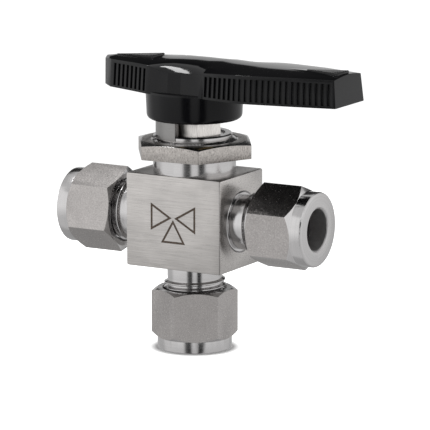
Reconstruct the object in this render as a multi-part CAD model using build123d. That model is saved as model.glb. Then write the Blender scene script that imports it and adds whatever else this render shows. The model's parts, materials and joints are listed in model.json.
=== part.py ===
from build123d import *
from math import cos, radians, sin, tan
import os

# Three way ball valve with compression ends.
# Frame: origin at the centre of the lower port's mouth, +Z up the stem,
# +X to the right-hand run port, -Y towards the front face. Millimetres.

# ---- driving dimensions -------------------------------------------------

BLOCK_X = 25.2  # valve body block
BLOCK_Y = 20.0
BLOCK_Z = 22.0
BLOCK_EDGE = 0.5  # chamfer round the block

TUBE_R = 4.85  # socket for a 9.525 mm (3/8 in) tube
TUBE_STOP = 3.2  # tube stop, from the block face
STUB_WALL = 1.55  # wall of the relief neck round the socket
STUB_NECK = 3.1  # length of the relief neck
STUB_THREAD = 0.74  # height of the 9/16-20 thread over the neck
STUB_END = 11.8  # end of the threaded stub, from the block face
SHANK_STEP = 0.6  # shank in the block, over the neck's radius
SHANK_RIM = 0.25  # chamfer round its hole in the block face
SEAT_DEPTH = 2.2  # depth of the ferrule seat cone
FERRULE_WALL = 1.15

NUT_FLATS = 17.46  # 11/16 in across flats
NUT_ENGAGE = 6.1  # nut's length over the stub
NUT_RUNOUT = 1.6  # nut's thread past the stub's end
NUT_CHAMBER_STEP = 0.35  # chamber over the ferrules' radius
NUT_END_WALL = 4.95  # from the ferrules to the nut's end
COLLAR_LENGTH = 2.8
NUT_CONE = 1.0  # length of the cone from hex to collar
NUT_SLOPE = 30.0  # chamfer angle at the hex's start, degrees
NUT_EDGE = 0.45
THREAD_LEAD = 0.4  # chamfer into the nut's thread
MOUTH_FLARE = 0.42  # flare at the mouth, radial and along the bore
RIGHT_NUT_CORNER = 95.9  # degrees from +Y towards +Z, as tightened
LEFT_NUT_CORNER = 81.4
BOTTOM_NUT_CORNER = 212.1  # degrees from +X towards +Y

FRONT_FERRULE = 3.2  # length
BACK_FERRULE = 1.9
FERRULE_LIFT = 0.35  # front ferrule's nose, from the foot of the seat cone
FERRULE_NOSE = 0.3  # its thickness at the back ferrule, which nests in it
BACK_LAND = 0.3  # flat end of the back ferrule, radial
NEST = 0.3  # back ferrule's nose inside the front ferrule

NECK_WALL = 2.5  # bonnet neck round the cavity
NECK_HEIGHT = 9.0
NECK_EDGE = 0.4
LUG_INSET = 0.6  # stop lug on the neck's rim, in from the neck's side
LUG_WALL = 1.6
LUG_HEIGHT = 6.9
LUG_FROM = 180.0  # degrees from +X towards +Y
LUG_SPAN = 90.0

PANEL_NUT_FLATS = 25.4  # 1 in across flats
PANEL_NUT_BASE = 3.75  # above the block
PANEL_NUT_THICK = 3.75
PANEL_NUT_CORNER = 3.5
PANEL_NUT_SLOPE = 15.0  # chamfer angle, degrees

FLOW_R = 2.38  # flow way
BALL_R = 5.0
STEM_R = 3.2
STEM_FLATS = 4.8  # across the double-D
STEM_FLAT_LENGTH = 8.2
STEM_RISE = 4.35  # stem's top, above the arm's underside

CAVITY_R = 7.15
PACKING_FLOOR = 1.4  # packing under and over the ball
DISC_R = 3.4
DISC_THICK = 1.25  # side disc, from the cavity's wall
BOTTOM_DISC_R = 4.0
BOTTOM_DISC_THICK = 1.0

GLAND_THICK = 1.8
WASHER_THICK = 0.7
WASHER_RISE = 0.5
BOLT_TOP_GAP = 0.4  # thread's top, below the neck's rim
BOLT_FLATS = 11.4
BOLT_HEX_HEIGHT = 3.4
BOLT_CORNER = 5.6
GROUND_SPRING_WALL = 0.8
GROUND_SPRING_HEIGHT = 1.4

HUB_WALL = 1.95  # round the recess, at the arm's underside
HUB_DRAFT = 2.0
HUB_GAP = 3.3  # hub's underside, above the neck's rim
HUB_HEIGHT = 6.35
HUB_EDGE = 1.2
HUB_LAP = 0.5  # hub's top inside the arm
HUB_LUG_SPAN = 88.0
HUB_LUG_INSET = 0.4  # above the hub's underside
ARM_DRAFT = 5.0
ARM_END_X = 40.6
ARM_END_Y = 6.8
ARM_WIDE_X = 17.0
ARM_WIDE_Y = 11.35
ARM_WAIST_X = 7.0
ARM_WAIST_Y = 9.5
TAIL_SHOULDER_X = -20.0
TAIL_SHOULDER_Y = 4.6
TAIL_TIP_X = -23.4
TAIL_TIP_Y = 1.2
ARM_SIDE = 6.5  # height of the ribbed side walls, above the arm's underside
WAIST_SIDE = 5.1  # the same at the smooth waist
END_SIDE = 6.1  # the same at the blunt end
ARM_CROWN = 7.1  # height of the top's middle line on the long arm
HUB_CROWN = 7.65  # the same over the hub
TAIL_CROWN = 6.9
TAIL_SHOULDER_CROWN = 7.2
CROWN_SHOULDER = 0.5  # share of the half width that the flatter middle takes
CROWN_FALL = 0.2  # share of the crown lost at that shoulder
MARK_RISE = 0.5  # raised arrow marks
MARK_Y = 2.6
TAIL_MARK = (-20.6, -9.5)  # tip and base, along X
ARM_MARK = (30.0, 39.8)
CORE_WALL = 2.0
CORE_DEPTH = 4.6
CORE_PITCH = 6.4
CORE_START = 13.6

INSERT_R = 5.6
INSERT_RISE = 4.8  # insert's top, above the arm's underside
SET_SCREW_R = 2.0
SET_SCREW_LENGTH = 4.0
SET_SCREW_RISE = 2.6  # centre, above the arm's underside

# ---- fits ---------------------------------------------------------------

RUNNING_FIT = 0.05  # radial, between parts that turn on each other
SEAT_FIT = 0.05  # radial, between parts that only sit together
TUBE_FIT_NUT = 0.02  # the nut's bore over the socket's radius
LUG_FIT = 1.0  # degrees between the stops at each end of the travel
RECESS_FIT = 0.35  # the hub's recess round the lug
STEM_ROOM = 0.35  # round and over the stem's top in the lever

# ---- worked-out places --------------------------------------------------

SEAT_MOUTH_R = TUBE_R + FERRULE_WALL
STUB_NECK_R = TUBE_R + STUB_WALL
STUB_THREAD_R = STUB_NECK_R + STUB_THREAD
SHANK_R = STUB_NECK_R + SHANK_STEP
FERRULE_NOSE_R = TUBE_R + FERRULE_NOSE
FRONT_FERRULE_START = STUB_END - SEAT_DEPTH + FERRULE_LIFT
BACK_FERRULE_START = FRONT_FERRULE_START + FRONT_FERRULE
BACK_FERRULE_END = BACK_FERRULE_START + BACK_FERRULE
COLLAR_R = NUT_FLATS / 2
THREAD_R = STUB_THREAD_R + RUNNING_FIT
NUT_BORE_R = TUBE_R + TUBE_FIT_NUT
NUT_CHAMBER_R = SEAT_MOUTH_R + NUT_CHAMBER_STEP
NUT_CHAMBER_END = BACK_FERRULE_END + TUBE_R + BACK_LAND - NUT_CHAMBER_R + 2 * SEAT_FIT
NUT_START = STUB_END - NUT_ENGAGE
NUT_THREAD_END = STUB_END + NUT_RUNOUT
PORT_REACH = BACK_FERRULE_END + NUT_END_WALL  # from a block face to a nut's end
NUT_HEX_END = PORT_REACH - COLLAR_LENGTH - NUT_CONE
AXIS_Z = PORT_REACH + BLOCK_Z / 2
FACE_X = BLOCK_X / 2
BLOCK_TOP = AXIS_Z + BLOCK_Z / 2
BLOCK_BASE = AXIS_Z - BLOCK_Z / 2
RIM_Z = BLOCK_TOP + NECK_HEIGHT
NECK_R = CAVITY_R + NECK_WALL
LUG_R = NECK_R - LUG_INSET
PACKING_R = CAVITY_R - SEAT_FIT
BOLT_R = CAVITY_R - SEAT_FIT
CAVITY_FLOOR = BALL_R + PACKING_FLOOR  # below the port axis
DISC_OUT = CAVITY_R + DISC_THICK  # outer face of a side disc, from the stem axis
GLAND_BASE = AXIS_Z + BALL_R + PACKING_FLOOR
WASHERS_BASE = GLAND_BASE + GLAND_THICK
WASHER_HEIGHT = WASHER_THICK + WASHER_RISE
BOLT_BASE = WASHERS_BASE + 2 * WASHER_HEIGHT
BOLT_SHOULDER = RIM_Z - BOLT_TOP_GAP
HUB_BASE_Z = RIM_Z + HUB_GAP
ARM_BASE_Z = HUB_BASE_Z + HUB_HEIGHT
STEM_TOP_Z = ARM_BASE_Z + STEM_RISE
RECESS_R = LUG_R + RECESS_FIT
RECESS_TOP_Z = RIM_Z + LUG_HEIGHT + RECESS_FIT
HUB_R = RECESS_R + HUB_WALL
INSERT_BASE_Z = RECESS_TOP_Z
INSERT_TOP_Z = ARM_BASE_Z + INSERT_RISE
SET_SCREW_Z = ARM_BASE_Z + SET_SCREW_RISE


# ---- shared shapes ------------------------------------------------------


def turned(*points):
    """Solid turned about Z from (radius, height) points."""
    return revolve(Plane.XZ * make_face(Polyline(*points, close=True)), Axis.Z)


def disc(radius, low, high):
    """Round bar along Z between two heights."""
    bar = Cylinder(radius, high - low, align=(Align.CENTER, Align.CENTER, Align.MIN))
    return Pos(0, 0, low) * bar


def ring(inner, outer, low, high):
    """Plain ring about Z."""
    return disc(outer, low, high) - disc(inner, low, high)


def hexagon(flats, low, high, corner=0.0):
    """Hex bar along Z with a corner at the given angle from +X."""
    outline = RegularPolygon(flats / 2 / cos(radians(30)), 6)
    return Pos(0, 0, low) * Rot(0, 0, corner) * extrude(outline, high - low)


def sector(inner, outer, low, high, start, span):
    """Part of a ring, from a start angle through a span, in degrees."""
    reach = 3 * outer
    steps = 6
    rays = [start + span * i / steps for i in range(steps + 1)]
    edge = [(reach * cos(radians(a)), reach * sin(radians(a))) for a in rays]
    wedge = extrude(make_face(Polyline((0, 0), *edge, close=True)), high - low)
    return ring(inner, outer, low, high) & (Pos(0, 0, low) * wedge)


def port_plane(side, corner=90.0):
    """Plane on a block face, Z outwards, X towards the nut corner's angle."""
    if side == "bottom":
        along = (cos(radians(corner)), sin(radians(corner)), 0)
        return Plane(origin=(0, 0, BLOCK_BASE), x_dir=along, z_dir=(0, 0, -1))
    along = (0, cos(radians(corner)), sin(radians(corner)))
    sign = 1 if side == "right" else -1
    return Plane(origin=(sign * FACE_X, 0, AXIS_Z), x_dir=along, z_dir=(sign, 0, 0))


# ---- body and end connectors --------------------------------------------


def shank_depth(side):
    """How far an end connector goes into the block."""
    if side == "bottom":
        return BLOCK_Z / 2 - CAVITY_FLOOR - BOTTOM_DISC_THICK
    return FACE_X - DISC_OUT


def end_connector(side):
    """Threaded end screwed into the block, with its tube socket."""
    depth = shank_depth(side)
    step = STUB_THREAD_R - STUB_NECK_R
    outside = turned(
        (0, -depth),
        (SHANK_R - SEAT_FIT, -depth),
        (SHANK_R - SEAT_FIT, 0),
        (STUB_NECK_R, 0),
        (STUB_NECK_R, STUB_NECK - step),
        (STUB_THREAD_R, STUB_NECK),
        (STUB_THREAD_R, STUB_END - step),
        (STUB_NECK_R, STUB_END),
        (0, STUB_END),
    )
    inside = turned(
        (0, -depth - 1),
        (FLOW_R, -depth - 1),
        (FLOW_R, TUBE_STOP),
        (TUBE_R, TUBE_STOP),
        (TUBE_R, STUB_END - SEAT_DEPTH),
        (SEAT_MOUTH_R, STUB_END),
        (SEAT_MOUTH_R, STUB_END + 1),
        (0, STUB_END + 1),
    )
    return port_plane(side) * (outside - inside)


def port_hole(side):
    """Threaded hole in the block for an end connector, with its rim chamfer."""
    depth = shank_depth(side)
    return port_plane(side) * turned(
        (0, -depth),
        (SHANK_R, -depth),
        (SHANK_R, -SHANK_RIM),
        (SHANK_R + SHANK_RIM, 0),
        (SHANK_R + SHANK_RIM, 1),
        (0, 1),
    )


def body():
    """Valve block with its threaded neck and stop lug."""
    block = Box(BLOCK_X, BLOCK_Y, BLOCK_Z)
    block = Pos(0, 0, AXIS_Z) * chamfer(block.edges(), BLOCK_EDGE)
    neck = turned(
        (0, BLOCK_TOP - 1),
        (NECK_R, BLOCK_TOP - 1),
        (NECK_R, RIM_Z - NECK_EDGE),
        (NECK_R - NECK_EDGE, RIM_Z),
        (0, RIM_Z),
    )
    shape = block + neck
    floor = AXIS_Z - CAVITY_FLOOR
    shape -= disc(CAVITY_R, floor, RIM_Z + 1)
    shape -= disc(BOTTOM_DISC_R + SEAT_FIT, floor - BOTTOM_DISC_THICK, AXIS_Z)
    for side in ("left", "right"):
        shape -= port_plane(side) * disc(DISC_R + SEAT_FIT, -FACE_X, DISC_OUT - FACE_X)
    for side in ("left", "right", "bottom"):
        shape -= port_hole(side)
    lug = sector(
        LUG_R - LUG_WALL, LUG_R, RIM_Z - 1, RIM_Z + LUG_HEIGHT, LUG_FROM, LUG_SPAN
    )
    return shape + lug


# ---- ball, seats and stem packing ---------------------------------------


def ball_stem():
    """One-piece ball and stem with an L-shaped flow way."""
    ball = Pos(0, 0, AXIS_Z) * Sphere(BALL_R)
    stem = disc(STEM_R, AXIS_Z, STEM_TOP_Z)
    shape = ball + stem
    down = disc(FLOW_R, AXIS_Z - 2 * BALL_R, AXIS_Z)
    across = Pos(0, 0, AXIS_Z) * Rot(0, 90, 0) * disc(FLOW_R, 0, 2 * BALL_R)
    elbow = Pos(0, 0, AXIS_Z) * Sphere(FLOW_R)
    shape = shape - down - across - elbow
    for sign in (1, -1):
        cut = Box(4 * STEM_R, 2 * STEM_R, STEM_FLAT_LENGTH + 1)
        off = sign * (STEM_FLATS / 2 + STEM_R)
        shape -= Pos(0, off, STEM_TOP_Z - STEM_FLAT_LENGTH / 2 + 0.5) * cut
    return shape


def packing_openings():
    """Ball pocket and the flow ways through the seat capsule."""
    pocket = Pos(0, 0, AXIS_Z) * Sphere(BALL_R + RUNNING_FIT)
    across = Pos(0, 0, AXIS_Z) * Rot(0, 90, 0) * disc(FLOW_R, -CAVITY_R - 1, CAVITY_R + 1)
    down = disc(FLOW_R, AXIS_Z - CAVITY_FLOOR - 1, AXIS_Z)
    return pocket + across + down


def lower_packing():
    """Lower half of the seat capsule."""
    half = disc(PACKING_R, AXIS_Z - CAVITY_FLOOR, AXIS_Z)
    return half - packing_openings()


def upper_packing():
    """Upper half of the seat capsule, with the stem's hole."""
    half = disc(PACKING_R, AXIS_Z, GLAND_BASE)
    hole = disc(STEM_R + RUNNING_FIT, AXIS_Z, GLAND_BASE + 1)
    return half - packing_openings() - hole


def side_disc(side):
    """Ring in the cavity wall, shaped to the cavity on its inner face."""
    blank = port_plane(side) * ring(FLOW_R, DISC_R, -FACE_X, DISC_OUT - FACE_X)
    return blank - disc(CAVITY_R, AXIS_Z - 2 * DISC_R, AXIS_Z + 2 * DISC_R)


def bottom_disc():
    """Ring under the seat capsule."""
    top = AXIS_Z - CAVITY_FLOOR
    return ring(FLOW_R, BOTTOM_DISC_R, top - BOTTOM_DISC_THICK, top)


def gland():
    """Ring that presses the seat capsule down."""
    return ring(STEM_R + RUNNING_FIT, PACKING_R, GLAND_BASE, WASHERS_BASE)


def spring_washer(base, rising):
    """Coned spring washer, its rim up or down."""
    inner = STEM_R + 2 * RUNNING_FIT
    low_in = WASHER_RISE if rising else 0
    low_out = 0 if rising else WASHER_RISE
    return turned(
        (inner, base + low_in),
        (PACKING_R, base + low_out),
        (PACKING_R, base + low_out + WASHER_THICK),
        (inner, base + low_in + WASHER_THICK),
    )


def packing_bolt():
    """Threaded plug in the neck with a hex above the rim."""
    hexagon_top = BOLT_SHOULDER + BOLT_HEX_HEIGHT
    thread = disc(BOLT_R, BOLT_BASE, BOLT_SHOULDER)
    head = hexagon(BOLT_FLATS, BOLT_SHOULDER - 1, hexagon_top, BOLT_CORNER)
    bore = disc(STEM_R + 2 * RUNNING_FIT, BOLT_BASE - 1, hexagon_top + 1)
    seat = disc(
        STEM_R + RUNNING_FIT + GROUND_SPRING_WALL + SEAT_FIT,
        BOLT_BASE - 1,
        BOLT_BASE + GROUND_SPRING_HEIGHT,
    )
    return thread + head - bore - seat


def grounding_spring():
    """Ring that joins the stem to the packing bolt electrically."""
    inner = STEM_R + RUNNING_FIT
    return ring(inner, inner + GROUND_SPRING_WALL, BOLT_BASE, BOLT_BASE + GROUND_SPRING_HEIGHT)


# ---- panel nut ----------------------------------------------------------


def panel_nut():
    """Thin hex nut on the neck, chamfered on top."""
    low = BLOCK_TOP + PANEL_NUT_BASE
    high = low + PANEL_NUT_THICK
    flat_r = PANEL_NUT_FLATS / 2
    outer = 2 * flat_r
    drop = (outer - flat_r + NUT_EDGE) * tan(radians(PANEL_NUT_SLOPE))
    blank = hexagon(PANEL_NUT_FLATS, low, high, PANEL_NUT_CORNER)
    envelope = turned(
        (0, low),
        (outer, low),
        (outer, high - drop),
        (flat_r - NUT_EDGE, high),
        (0, high),
    )
    return (blank & envelope) - disc(NECK_R + RUNNING_FIT, low - 1, high + 1)


# ---- compression ends ---------------------------------------------------


def nut_blank():
    """Outside of a tube nut: hex, end cone and round collar."""
    corner_r = NUT_FLATS / 2 / cos(radians(30))
    inner_drop = (corner_r - COLLAR_R) * tan(radians(NUT_SLOPE))
    bar = hexagon(NUT_FLATS, NUT_START, PORT_REACH)
    envelope = turned(
        (0, NUT_START),
        (COLLAR_R, NUT_START),
        (corner_r, NUT_START + inner_drop),
        (corner_r, NUT_HEX_END),
        (COLLAR_R, NUT_HEX_END + NUT_CONE),
        (COLLAR_R, PORT_REACH - NUT_EDGE),
        (COLLAR_R - NUT_EDGE, PORT_REACH),
        (0, PORT_REACH),
    )
    return bar & envelope


def tube_nut(side, corner):
    """Hex compression nut, in place on its port."""
    cone = NUT_CHAMBER_R - NUT_BORE_R
    inside = turned(
        (0, NUT_START - 1),
        (THREAD_R + THREAD_LEAD, NUT_START - 1),
        (THREAD_R + THREAD_LEAD, NUT_START),
        (THREAD_R, NUT_START + THREAD_LEAD),
        (THREAD_R, NUT_THREAD_END),
        (NUT_CHAMBER_R, NUT_THREAD_END),
        (NUT_CHAMBER_R, NUT_CHAMBER_END),
        (NUT_BORE_R, NUT_CHAMBER_END + cone),
        (NUT_BORE_R, PORT_REACH - MOUTH_FLARE),
        (NUT_BORE_R + MOUTH_FLARE, PORT_REACH),
        (NUT_BORE_R + MOUTH_FLARE, PORT_REACH + 1),
        (0, PORT_REACH + 1),
    )
    return port_plane(side, corner) * (nut_blank() - inside)


def front_ferrule(side):
    """Long tapered ring that seats in the stub's cone."""
    start = FRONT_FERRULE_START
    end = start + FRONT_FERRULE
    slope = (SEAT_MOUTH_R - TUBE_R) / SEAT_DEPTH
    into_seat = STUB_END - start
    nose_r = SEAT_MOUTH_R - slope * into_seat - SEAT_FIT
    mouth_r = SEAT_MOUTH_R - SEAT_FIT
    ferrule = turned(
        (TUBE_R, start),
        (nose_r, start),
        (mouth_r, STUB_END),
        (mouth_r, end),
        (FERRULE_NOSE_R, end - NEST),
        (TUBE_R, end - NEST),
    )
    return port_plane(side) * ferrule


def back_ferrule(side):
    """Short ring behind the front ferrule, coned to the nut's shoulder."""
    start = BACK_FERRULE_START
    end = BACK_FERRULE_END
    outer = SEAT_MOUTH_R - 2 * SEAT_FIT
    shoulder = outer - TUBE_R - BACK_LAND
    ferrule = turned(
        (TUBE_R, start - NEST),
        (FERRULE_NOSE_R, start - NEST),
        (outer, start),
        (outer, end - shoulder),
        (outer - shoulder, end),
        (TUBE_R, end),
    )
    return port_plane(side) * ferrule


# ---- handle -------------------------------------------------------------


def arm_section(x, half_width, side, crown):
    """Cross-section of the lever at x, from its underside to its crowned top."""
    top_half = half_width - side * tan(radians(ARM_DRAFT))
    shoulder = crown - CROWN_FALL * (crown - side)
    half = [
        (half_width, 0),
        (top_half, side),
        (CROWN_SHOULDER * top_half, shoulder),
        (0, crown),
    ]
    loop = half + [(-y, z) for y, z in reversed(half[:-1])]
    points = [(x, y, ARM_BASE_Z + z) for y, z in loop]
    return make_face(Polyline(*points, close=True))


def arm():
    """Lever arm, drawn through its cross-sections from tail to end."""
    tip = min(ARM_SIDE, TAIL_TIP_Y / tan(radians(ARM_DRAFT)) - 1)
    sections = [
        arm_section(TAIL_TIP_X, TAIL_TIP_Y, tip, TAIL_CROWN),
        arm_section(TAIL_SHOULDER_X, TAIL_SHOULDER_Y, ARM_SIDE, TAIL_SHOULDER_CROWN),
        arm_section(-ARM_WAIST_X, ARM_WAIST_Y, ARM_SIDE, HUB_CROWN),
        arm_section(-ARM_WAIST_X / 2, ARM_WAIST_Y, WAIST_SIDE, HUB_CROWN),
        arm_section(ARM_WAIST_X, ARM_WAIST_Y, WAIST_SIDE, (HUB_CROWN + ARM_CROWN) / 2),
        arm_section(ARM_WIDE_X, ARM_WIDE_Y, ARM_SIDE, ARM_CROWN),
        arm_section(ARM_END_X, ARM_END_Y, END_SIDE, ARM_CROWN),
    ]
    return loft(sections, ruled=True)


def mark(tip_x, base_x, top):
    """Raised arrow mark on the lever, its tip towards -X."""
    outline = Polyline((tip_x, 0), (base_x, MARK_Y), (base_x, -MARK_Y), close=True)
    return Pos(0, 0, top - 2 * MARK_RISE) * extrude(make_face(outline), 2 * MARK_RISE)


def core_pockets():
    """Moulding cores under the long arm, each side of a middle rib."""
    cells = int((ARM_END_X - 2 * CORE_WALL - CORE_START) / CORE_PITCH)
    taper = (ARM_WIDE_Y - ARM_END_Y) / (ARM_END_X - ARM_WIDE_X)
    cuts = []
    for i in range(cells):
        x_low = CORE_START + i * CORE_PITCH
        x_high = x_low + CORE_PITCH - CORE_WALL
        reach = ARM_WIDE_Y - max(0, x_high - ARM_WIDE_X) * taper - CORE_WALL
        width = reach - CORE_WALL / 2
        pocket = Box(x_high - x_low, width, 2 * CORE_DEPTH)
        middle = (x_low + x_high) / 2
        for sign in (1, -1):
            cuts.append(Pos(middle, sign * (CORE_WALL / 2 + width / 2), ARM_BASE_Z) * pocket)
    return cuts


def set_screw_hole(radius):
    """Hole from the insert out through the back of the hub's arm."""
    bar = Cylinder(radius, 3 * HUB_R, align=(Align.CENTER, Align.CENTER, Align.MIN))
    return Pos(0, 0, SET_SCREW_Z) * Rot(-90, 0, 0) * bar


def handle():
    """Moulded lever with its hub, recess and inner stop lug."""
    drop = ARM_BASE_Z - HUB_BASE_Z
    base_r = HUB_R - drop * tan(radians(HUB_DRAFT))
    hub = turned(
        (0, HUB_BASE_Z),
        (base_r - HUB_EDGE, HUB_BASE_Z),
        (base_r - 0.3 * HUB_EDGE, HUB_BASE_Z + 0.3 * HUB_EDGE),
        (base_r, HUB_BASE_Z + HUB_EDGE),
        (HUB_R, ARM_BASE_Z),
        (HUB_R, ARM_BASE_Z + HUB_LAP),
        (0, ARM_BASE_Z + HUB_LAP),
    )
    shape = hub + arm()
    shape += mark(*TAIL_MARK, ARM_BASE_Z + HUB_CROWN + MARK_RISE / 2)
    shape += mark(*ARM_MARK, ARM_BASE_Z + ARM_CROWN + MARK_RISE)
    shape -= disc(RECESS_R, HUB_BASE_Z - 1, RECESS_TOP_Z)
    shape -= disc(INSERT_R, INSERT_BASE_Z - 1, INSERT_TOP_Z)
    shape -= disc(STEM_R + STEM_ROOM, INSERT_TOP_Z - 1, STEM_TOP_Z + STEM_ROOM)
    shape -= set_screw_hole(SET_SCREW_R + SEAT_FIT)
    for pocket in core_pockets():
        shape -= pocket
    stop = sector(
        LUG_R - LUG_WALL,
        RECESS_R + HUB_WALL / 2,
        HUB_BASE_Z + HUB_LUG_INSET,
        RECESS_TOP_Z,
        LUG_FROM + LUG_SPAN + LUG_FIT,
        HUB_LUG_SPAN,
    )
    return shape + stop


def handle_insert():
    """Brass driver in the hub with a double-D hole for the stem."""
    blank = disc(INSERT_R, INSERT_BASE_Z, INSERT_TOP_Z)
    hole = disc(STEM_R + SEAT_FIT, INSERT_BASE_Z - 1, INSERT_TOP_Z + 1)
    for sign in (1, -1):
        keep = Box(4 * STEM_R, 2 * STEM_R, 2 * (INSERT_TOP_Z - INSERT_BASE_Z))
        off = sign * (STEM_FLATS / 2 + SEAT_FIT + STEM_R)
        hole -= Pos(0, off, (INSERT_BASE_Z + INSERT_TOP_Z) / 2) * keep
    return blank - hole - set_screw_hole(SET_SCREW_R)


def set_screw():
    """Socket set screw from the insert's side to the stem's flat."""
    start = STEM_FLATS / 2 + SEAT_FIT
    bar = disc(SET_SCREW_R - SEAT_FIT, start, start + SET_SCREW_LENGTH)
    socket = hexagon(SET_SCREW_R, start + SET_SCREW_LENGTH / 2, start + SET_SCREW_LENGTH + 1)
    return Pos(0, 0, SET_SCREW_Z) * Rot(-90, 0, 0) * (bar - socket)


# ---- export -------------------------------------------------------------

os.makedirs("parts", exist_ok=True)

SUB_PARTS = {
    "body": body(),
    "left_end_connector": end_connector("left"),
    "right_end_connector": end_connector("right"),
    "bottom_end_connector": end_connector("bottom"),
    "ball_stem": ball_stem(),
    "lower_packing": lower_packing(),
    "upper_packing": upper_packing(),
    "left_side_disc": side_disc("left"),
    "right_side_disc": side_disc("right"),
    "bottom_disc": bottom_disc(),
    "gland": gland(),
    "lower_spring_washer": spring_washer(WASHERS_BASE, rising=False),
    "upper_spring_washer": spring_washer(WASHERS_BASE + WASHER_HEIGHT, rising=True),
    "packing_bolt": packing_bolt(),
    "grounding_spring": grounding_spring(),
    "panel_nut": panel_nut(),
    "left_tube_nut": tube_nut("left", LEFT_NUT_CORNER),
    "right_tube_nut": tube_nut("right", RIGHT_NUT_CORNER),
    "bottom_tube_nut": tube_nut("bottom", BOTTOM_NUT_CORNER),
    "left_front_ferrule": front_ferrule("left"),
    "right_front_ferrule": front_ferrule("right"),
    "bottom_front_ferrule": front_ferrule("bottom"),
    "left_back_ferrule": back_ferrule("left"),
    "right_back_ferrule": back_ferrule("right"),
    "bottom_back_ferrule": back_ferrule("bottom"),
    "handle": handle(),
    "handle_insert": handle_insert(),
    "set_screw": set_screw(),
}

for name, shape in SUB_PARTS.items():
    export_step(shape, f"parts/{name}.step")
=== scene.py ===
# %% [markdown]
# A three way ball valve, finished in Blender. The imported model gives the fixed
# frame: every piece below takes its place from that frame's boxes, is modelled
# with ordinary edit-mode tools, and then rides on a body of the frame.

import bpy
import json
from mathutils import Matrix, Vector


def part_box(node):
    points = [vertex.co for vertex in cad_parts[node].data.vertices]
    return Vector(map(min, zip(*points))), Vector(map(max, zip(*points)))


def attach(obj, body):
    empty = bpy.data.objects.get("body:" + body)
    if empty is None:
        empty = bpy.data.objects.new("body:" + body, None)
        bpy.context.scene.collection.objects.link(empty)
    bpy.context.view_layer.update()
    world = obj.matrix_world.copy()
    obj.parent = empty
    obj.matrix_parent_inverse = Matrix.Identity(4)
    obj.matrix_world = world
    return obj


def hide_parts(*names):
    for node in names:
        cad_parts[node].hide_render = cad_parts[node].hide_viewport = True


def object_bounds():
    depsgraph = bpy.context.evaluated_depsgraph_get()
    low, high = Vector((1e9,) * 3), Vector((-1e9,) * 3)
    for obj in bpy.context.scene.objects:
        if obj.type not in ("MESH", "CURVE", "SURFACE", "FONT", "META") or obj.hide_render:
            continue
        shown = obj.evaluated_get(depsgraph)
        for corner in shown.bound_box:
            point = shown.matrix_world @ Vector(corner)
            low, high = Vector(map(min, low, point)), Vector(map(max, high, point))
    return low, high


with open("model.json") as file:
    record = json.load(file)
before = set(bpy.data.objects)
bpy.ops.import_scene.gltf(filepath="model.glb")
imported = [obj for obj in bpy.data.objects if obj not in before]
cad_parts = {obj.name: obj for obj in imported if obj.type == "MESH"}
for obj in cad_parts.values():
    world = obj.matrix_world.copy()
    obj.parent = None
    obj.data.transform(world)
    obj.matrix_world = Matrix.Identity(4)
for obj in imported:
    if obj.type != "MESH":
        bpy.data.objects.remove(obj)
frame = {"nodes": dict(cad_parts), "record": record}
cad_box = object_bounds()

# %% [markdown]
# Lengths are written in millimetres, as on a drawing, and turned into Blender's
# metres by one factor. The main places come from the frame: the block's faces,
# the height of the port axis, and the height of the neck's rim.

# %% Units and places
import bpy
from math import atan, cos, pi, radians, sin, tan
from mathutils import Matrix, Vector

MM = 0.001
ports = {m["name"]: Vector(m["pos_m"]) / MM for m in frame["record"]["mounts"]}
body_low, body_high = (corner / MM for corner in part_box("body"))
axis_z = ports["right_port"].z
face_x = body_high.x
face_y = body_high.y
block_base = body_low.z
block_top = 2 * axis_z - block_base
LUG_HEIGHT = 6.9
rim_z = body_high.z - LUG_HEIGHT
print("port axis", axis_z, "block", block_base, block_top, "neck rim", rim_z)

# %% [markdown]
# A small polished part looks its real size through a long lens, which keeps its
# near and far ends alike. The camera stands a little above, and is placed by two
# angles round the block's middle.

# %% Camera
AZIMUTH = radians(29.82)
ELEVATION = radians(11.01)
DISTANCE = 923
AIM_RIGHT = 4.73
AIM_UP = 0.33
SENSOR = 36
LENS = 332.03
back = Vector((sin(AZIMUTH) * cos(ELEVATION), -cos(AZIMUTH) * cos(ELEVATION), sin(ELEVATION)))
right = Vector((cos(AZIMUTH), sin(AZIMUTH), 0))
up = back.cross(right)
aim = Vector((0, 0, axis_z)) + AIM_RIGHT * right + AIM_UP * up
bpy.ops.object.camera_add(location=(aim + DISTANCE * back) * MM)
camera = bpy.context.object
camera.rotation_euler = Matrix((right, up, back)).transposed().to_euler()
camera.data.sensor_width = SENSOR
camera.data.lens = LENS
bpy.context.scene.camera = camera
bpy.context.scene.view_settings.view_transform = "Standard"
print("camera", [round(x, 3) for x in camera.location])

# %% [markdown]
# Both the studio and the finishes are built from shader nodes. By hand, each node
# comes from a menu and its sockets are wired with the mouse. This helper does the
# same in one line: it adds a node, sets its options and fills its inputs.

# %% Node helper
def node(tree, kind, inputs=None, out=0, **options):
    """Adds a node, sets its options, fills its inputs and returns one output."""
    made = tree.nodes.new("ShaderNode" + kind)
    for name, value in options.items():
        setattr(made, name, value)
    for key, value in (inputs or {}).items():
        if isinstance(value, bpy.types.NodeSocket):
            tree.links.new(value, made.inputs[key])
        else:
            made.inputs[key].default_value = value
    return made.outputs[out]


def ramp(tree, value, stops, smooth=True):
    """Colour ramp through (position, grey or colour) stops."""
    made = tree.nodes.new("ShaderNodeValToRGB")
    tree.links.new(value, made.inputs[0])
    bar = made.color_ramp
    bar.interpolation = "EASE" if smooth else "LINEAR"
    while len(bar.elements) < len(stops):
        bar.elements.new(1)
    for element, (place, tone) in zip(bar.elements, stops):
        element.position = place
        rgb = (tone, tone, tone) if isinstance(tone, (int, float)) else tone
        element.color = (*rgb, 1)
    return made.outputs[0]


def math(tree, operation, a, b=0.0):
    """One step of arithmetic on sockets or numbers."""
    return node(tree, "Math", {0: a, 1: b}, operation=operation)


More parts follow.
